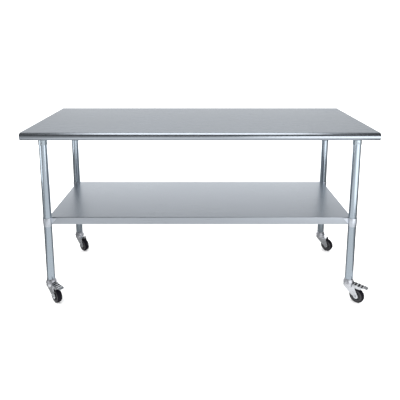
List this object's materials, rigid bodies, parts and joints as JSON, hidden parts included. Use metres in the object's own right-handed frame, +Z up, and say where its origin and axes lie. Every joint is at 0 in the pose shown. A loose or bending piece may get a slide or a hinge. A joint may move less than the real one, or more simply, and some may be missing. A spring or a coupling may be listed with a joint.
{
  "type": "work table",
  "caption": "Rectangular stainless steel work table with rolled front and rear edges, round legs, an adjustable undershelf and swivel casters, the front pair with brake pedals.",
  "frame": {"origin": "on the floor, under the middle of the worktop", "axes": "+X along the length of the table, +Y from front to rear, +Z up"},
  "size_m": [1.8288, 0.762, 0.965],
  "materials": {
    "brushed_stainless": "satin, brushed along the length",
    "galvanised_sheet": "dull galvanised",
    "cast_stainless": "satin cast",
    "blackened_screw": "black oxide",
    "bright_zinc": "bright zinc plate",
    "dull_zinc": "dull zinc plate",
    "sleeve_rubber": "matt",
    "tyre_rubber": "matt black",
    "hub_plastic": "moulded dark grey"
  },
  "bodies": {
    "frame": {"tabletop": "brushed_stainless", "left_leg_channel": "galvanised_sheet", "right_leg_channel": "galvanised_sheet", "centre_channel": "galvanised_sheet", "front_left_leg": "brushed_stainless", "front_left_leg_socket": "cast_stainless", "front_left_leg_socket_screw": "blackened_screw", "front_left_caster_stem": "dull_zinc", "front_left_caster_sleeve": "sleeve_rubber", "front_left_caster_race": "bright_zinc", "front_right_leg": "brushed_stainless", "front_right_leg_socket": "cast_stainless", "front_right_leg_socket_screw": "blackened_screw", "front_right_caster_stem": "dull_zinc", "front_right_caster_sleeve": "sleeve_rubber", "front_right_caster_race": "bright_zinc", "rear_left_leg": "brushed_stainless", "rear_left_leg_socket": "cast_stainless", "rear_left_leg_socket_screw": "blackened_screw", "rear_left_caster_stem": "dull_zinc", "rear_left_caster_sleeve": "sleeve_rubber", "rear_left_caster_race": "bright_zinc", "rear_right_leg": "brushed_stainless", "rear_right_leg_socket": "cast_stainless", "rear_right_leg_socket_screw": "blackened_screw", "rear_right_caster_stem": "dull_zinc", "rear_right_caster_sleeve": "sleeve_rubber", "rear_right_caster_race": "bright_zinc"},
    "front_left_swivel": {"front_left_caster_yoke": "bright_zinc", "front_left_axle_bolt": "dull_zinc", "front_left_axle_nut": "dull_zinc"},
    "front_left_wheel": {"front_left_tyre": "tyre_rubber", "front_left_wheel_hub": "hub_plastic"},
    "front_left_brake": {"front_left_brake_pedal": "bright_zinc"},
    "front_right_swivel": {"front_right_caster_yoke": "bright_zinc", "front_right_axle_bolt": "dull_zinc", "front_right_axle_nut": "dull_zinc"},
    "front_right_wheel": {"front_right_tyre": "tyre_rubber", "front_right_wheel_hub": "hub_plastic"},
    "front_right_brake": {"front_right_brake_pedal": "bright_zinc"},
    "rear_left_swivel": {"rear_left_caster_yoke": "bright_zinc", "rear_left_axle_bolt": "dull_zinc", "rear_left_axle_nut": "dull_zinc"},
    "rear_left_wheel": {"rear_left_tyre": "tyre_rubber", "rear_left_wheel_hub": "hub_plastic"},
    "rear_right_swivel": {"rear_right_caster_yoke": "bright_zinc", "rear_right_axle_bolt": "dull_zinc", "rear_right_axle_nut": "dull_zinc"},
    "rear_right_wheel": {"rear_right_tyre": "tyre_rubber", "rear_right_wheel_hub": "hub_plastic"},
    "shelf": {"undershelf": "brushed_stainless", "undershelf_channel": "galvanised_sheet", "front_left_shelf_socket": "cast_stainless", "front_left_shelf_socket_screw": "blackened_screw", "front_right_shelf_socket": "cast_stainless", "front_right_shelf_socket_screw": "blackened_screw", "rear_left_shelf_socket": "cast_stainless", "rear_left_shelf_socket_screw": "blackened_screw", "rear_right_shelf_socket": "cast_stainless", "rear_right_shelf_socket_screw": "blackened_screw"}
  },
  "joints": [
    {"name": "front_left_caster_swivel", "type": "hinge", "parent": "frame", "child": "front_left_swivel", "pos_m": [-0.8255, -0.2921, 0.1], "axis": [0, 0, 1], "continuous": true},
    {"name": "front_left_wheel_spin", "type": "hinge", "parent": "front_left_swivel", "child": "front_left_wheel", "pos_m": [-0.78834, -0.32556, 0.04], "axis": [0.6691, 0.7431, 0], "continuous": true},
    {"name": "front_left_brake_press", "type": "hinge", "parent": "front_left_swivel", "child": "front_left_brake", "pos_m": [-0.79949, -0.31552, 0.095], "axis": [0.6691, 0.7431, 0], "range_deg": [0, 11]},
    {"name": "front_right_caster_swivel", "type": "hinge", "parent": "frame", "child": "front_right_swivel", "pos_m": [0.8255, -0.2921, 0.1], "axis": [0, 0, 1], "continuous": true},
    {"name": "front_right_wheel_spin", "type": "hinge", "parent": "front_right_swivel", "child": "front_right_wheel", "pos_m": [0.86266, -0.32556, 0.04], "axis": [0.6691, 0.7431, 0], "continuous": true},
    {"name": "front_right_brake_press", "type": "hinge", "parent": "front_right_swivel", "child": "front_right_brake", "pos_m": [0.85151, -0.31552, 0.095], "axis": [0.6691, 0.7431, 0], "range_deg": [0, 11]},
    {"name": "rear_left_caster_swivel", "type": "hinge", "parent": "frame", "child": "rear_left_swivel", "pos_m": [-0.8255, 0.2921, 0.1], "axis": [0, 0, 1], "continuous": true},
    {"name": "rear_left_wheel_spin", "type": "hinge", "parent": "rear_left_swivel", "child": "rear_left_wheel", "pos_m": [-0.78834, 0.25864, 0.04], "axis": [0.6691, 0.7431, 0], "continuous": true},
    {"name": "rear_right_caster_swivel", "type": "hinge", "parent": "frame", "child": "rear_right_swivel", "pos_m": [0.8255, 0.2921, 0.1], "axis": [0, 0, 1], "continuous": true},
    {"name": "rear_right_wheel_spin", "type": "hinge", "parent": "rear_right_swivel", "child": "rear_right_wheel", "pos_m": [0.86266, 0.25864, 0.04], "axis": [0.6691, 0.7431, 0], "continuous": true},
    {"name": "undershelf_height", "type": "slide", "parent": "frame", "child": "shelf", "axis": [0, 0, 1], "range_m": [-0.25, 0.3]}
  ]
}
